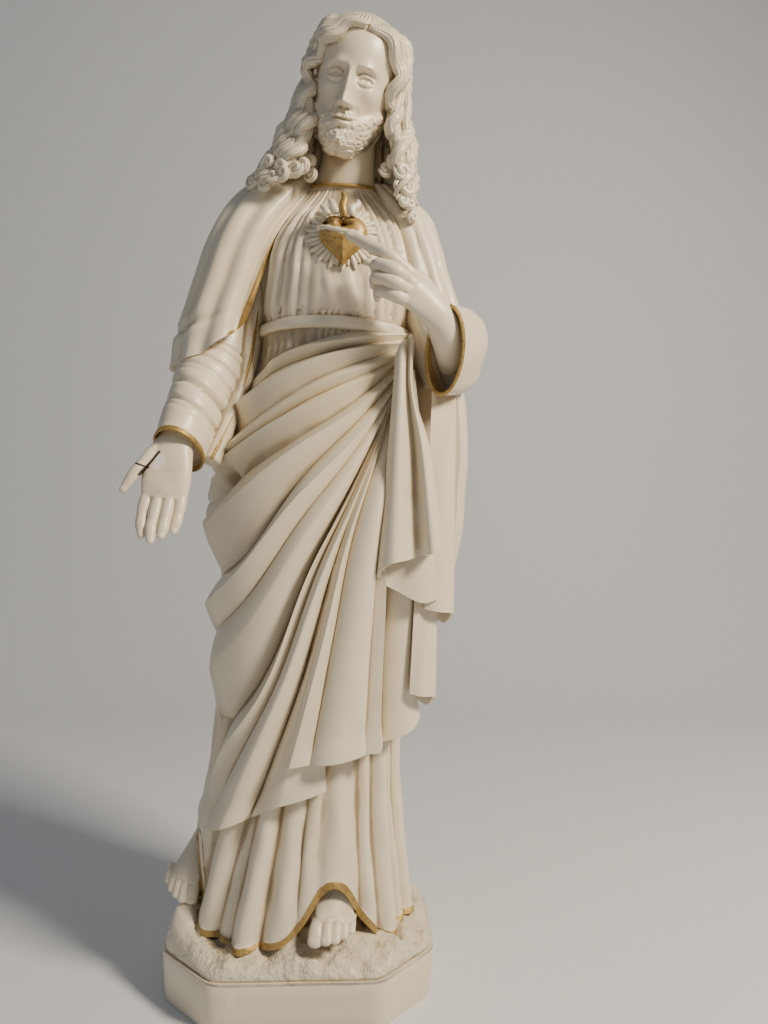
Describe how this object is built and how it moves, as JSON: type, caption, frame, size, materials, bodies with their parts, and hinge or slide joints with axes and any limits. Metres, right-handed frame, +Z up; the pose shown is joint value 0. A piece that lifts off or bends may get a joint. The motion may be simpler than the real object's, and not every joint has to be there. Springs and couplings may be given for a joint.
{
  "type": "devotional statue",
  "caption": "Painted plaster devotional statue of a standing robed and cloaked figure with a gilded heart on the breast, one hand held out, on rocky ground over a cut-cornered plinth.",
  "frame": {"origin": "middle of the plinth's flat underside", "axes": "+Z up along the figure, -Y towards the viewer the figure faces, +X towards the figure's left hand"},
  "size_m": [0.4276, 0.2799, 1.2],
  "materials": {
    "painted_plaster": "ivory painted plaster, satin, with aged gilt borders and a gilt heart"
  },
  "bodies": {
    "root": {"statue": "painted_plaster"}
  },
  "joints": []
}
